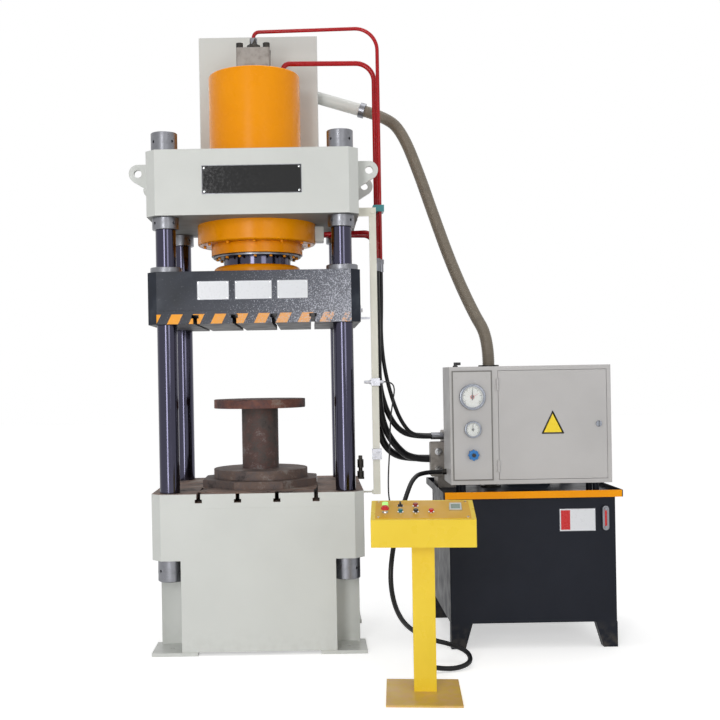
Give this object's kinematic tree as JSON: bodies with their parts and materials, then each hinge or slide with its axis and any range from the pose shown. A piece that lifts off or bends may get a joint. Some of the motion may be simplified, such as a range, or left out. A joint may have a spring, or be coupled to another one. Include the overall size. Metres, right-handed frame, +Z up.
{
  "type": "hydraulic press",
  "caption": "Four-column hydraulic press with overhead cylinder, fill tank, power unit with gauge cabinet, control pedestal and connecting hoses.",
  "frame": {"origin": "on the floor at the centre of the press's four anchor holes", "axes": "+Z up along the ram, +X to the power unit's side, the operator's side faces -Y"},
  "size_m": [2.777, 2.1705, 3.71],
  "materials": {
    "press_paint": "semi-gloss",
    "cylinder_paint": "gloss",
    "slide_paint": "gloss",
    "unit_paint": "semi-gloss",
    "cabinet_paint": "fine texture",
    "pedestal_paint": "gloss",
    "pipe_paint": "gloss",
    "ground_steel": "ground and chromed",
    "turned_steel": "turned",
    "dark_steel": "phosphated",
    "rusty_steel": "rusty",
    "motor_paint": "semi-gloss",
    "black_rubber": "matte",
    "steel_hose": "corrugated",
    "gauge_chrome": "polished",
    "pointer_black": "matte",
    "blue_plastic": "moulded",
    "red_plastic": "moulded",
    "dark_red_plastic": "moulded",
    "black_plastic": "moulded"
  },
  "bodies": {
    "frame": {"bed_frame": "press_paint", "bed_table": "rusty_steel", "columns": "ground_steel", "column_nuts": "turned_steel", "crown_frame": "press_paint", "lifting_lugs": "press_paint", "cylinder_barrel": "cylinder_paint", "lock_ring": "cylinder_paint", "gland_housing": "cylinder_paint", "cylinder_fittings": "dark_steel", "prefill_valve": "turned_steel", "fill_tank": "press_paint", "tank_pipes": "press_paint", "pipe_upper": "pipe_paint", "pipe_middle": "pipe_paint", "lower_pipes": "pipe_paint", "pipe_fittings": "turned_steel", "limit_rail": "press_paint", "limit_switches": "turned_steel", "rear_union": "dark_steel", "scale_sheets": "rusty_steel", "octagon_plate": "rusty_steel", "tool_stand": "rusty_steel", "oil_tank": "unit_paint", "rim_tray": "cylinder_paint", "tank_fittings": "dark_steel", "motor_housing": "motor_paint", "pump": "dark_steel", "valve_manifold": "dark_steel", "cabinet_shell": "cabinet_paint", "gauge_panel": "cabinet_paint", "gauge_cases": "gauge_chrome", "cabinet_electrics": "black_plastic", "pedestal_stand": "pedestal_paint", "console_box": "pedestal_paint", "console_panel": "pedestal_paint", "return_hose": "steel_hose", "hose_a": "black_rubber", "hose_b": "black_rubber", "hose_c": "black_rubber", "hose_d": "black_rubber", "control_conduit": "black_rubber", "sensor_cable": "black_rubber"},
    "slide": {"ram": "ground_steel", "ram_flange": "cylinder_paint", "slide_body": "slide_paint", "slide_table": "slide_paint", "guide_bushes": "turned_steel"},
    "rotor": {"motor_rotor": "dark_steel"},
    "large_pointer": {"large_pointer": "pointer_black"},
    "small_pointer": {"small_pointer": "pointer_black"},
    "handwheel": {"handwheel": "blue_plastic"},
    "cabinet_door": {"cabinet_door": "cabinet_paint"},
    "door_lock": {"door_lock": "gauge_chrome"},
    "estop_button": {"estop_button": "red_plastic"},
    "selector_knob": {"selector_knob": "black_plastic"},
    "blue_button": {"blue_button": "blue_plastic"},
    "dark_red_button": {"dark_red_button": "dark_red_plastic"},
    "black_button": {"black_button": "black_plastic"},
    "red_button": {"red_button": "red_plastic"}
  },
  "joints": [
    {"name": "ram_stroke", "type": "slide", "parent": "frame", "child": "slide", "axis": [0, 0, -1], "range_m": [-0.035, 0.43]},
    {"name": "rotor_spin", "type": "hinge", "parent": "frame", "child": "rotor", "pos_m": [1.5, 0.24, 1.042], "axis": [1, 0, 0], "continuous": true},
    {"name": "large_pointer_swing", "type": "hinge", "parent": "frame", "child": "large_pointer", "pos_m": [1.22, -0.45, 1.423], "axis": [0, 1, 0], "range_deg": [-135, 135]},
    {"name": "small_pointer_swing", "type": "hinge", "parent": "frame", "child": "small_pointer", "pos_m": [1.22, -0.45, 1.24], "axis": [0, 1, 0], "range_deg": [-135, 135]},
    {"name": "handwheel_turn", "type": "hinge", "parent": "frame", "child": "handwheel", "pos_m": [1.22, -0.46, 1.096], "axis": [0, 1, 0], "range_deg": [-360, 360]},
    {"name": "door_swing", "type": "hinge", "parent": "frame", "child": "cabinet_door", "pos_m": [1.3635, -0.448, 1.261], "axis": [0, 0, -1], "range_deg": [0, 110]},
    {"name": "lock_turn", "type": "hinge", "parent": "cabinet_door", "child": "door_lock", "pos_m": [1.9325, -0.44, 1.261], "axis": [0, 1, 0], "range_deg": [0, 90]},
    {"name": "estop_press", "type": "slide", "parent": "frame", "child": "estop_button", "axis": [0.0168, 0.2089, -0.9778], "range_m": [0, 0.006], "stiffness_N_per_m": 400},
    {"name": "blue_press", "type": "slide", "parent": "frame", "child": "blue_button", "axis": [0.0168, 0.2089, -0.9778], "range_m": [0, 0.005], "stiffness_N_per_m": 400},
    {"name": "dark_red_press", "type": "slide", "parent": "frame", "child": "dark_red_button", "axis": [0.0168, 0.2089, -0.9778], "range_m": [0, 0.005], "stiffness_N_per_m": 400},
    {"name": "black_press", "type": "slide", "parent": "frame", "child": "black_button", "axis": [0.0168, 0.2089, -0.9778], "range_m": [0, 0.005], "stiffness_N_per_m": 400},
    {"name": "red_press", "type": "slide", "parent": "frame", "child": "red_button", "axis": [0.0168, 0.2089, -0.9778], "range_m": [0, 0.005], "stiffness_N_per_m": 400},
    {"name": "selector_turn", "type": "hinge", "parent": "frame", "child": "selector_knob", "pos_m": [0.74003, -1.2232, 0.91267], "axis": [-0.0168, -0.2089, 0.9778], "range_deg": [-45, 45]}
  ]
}
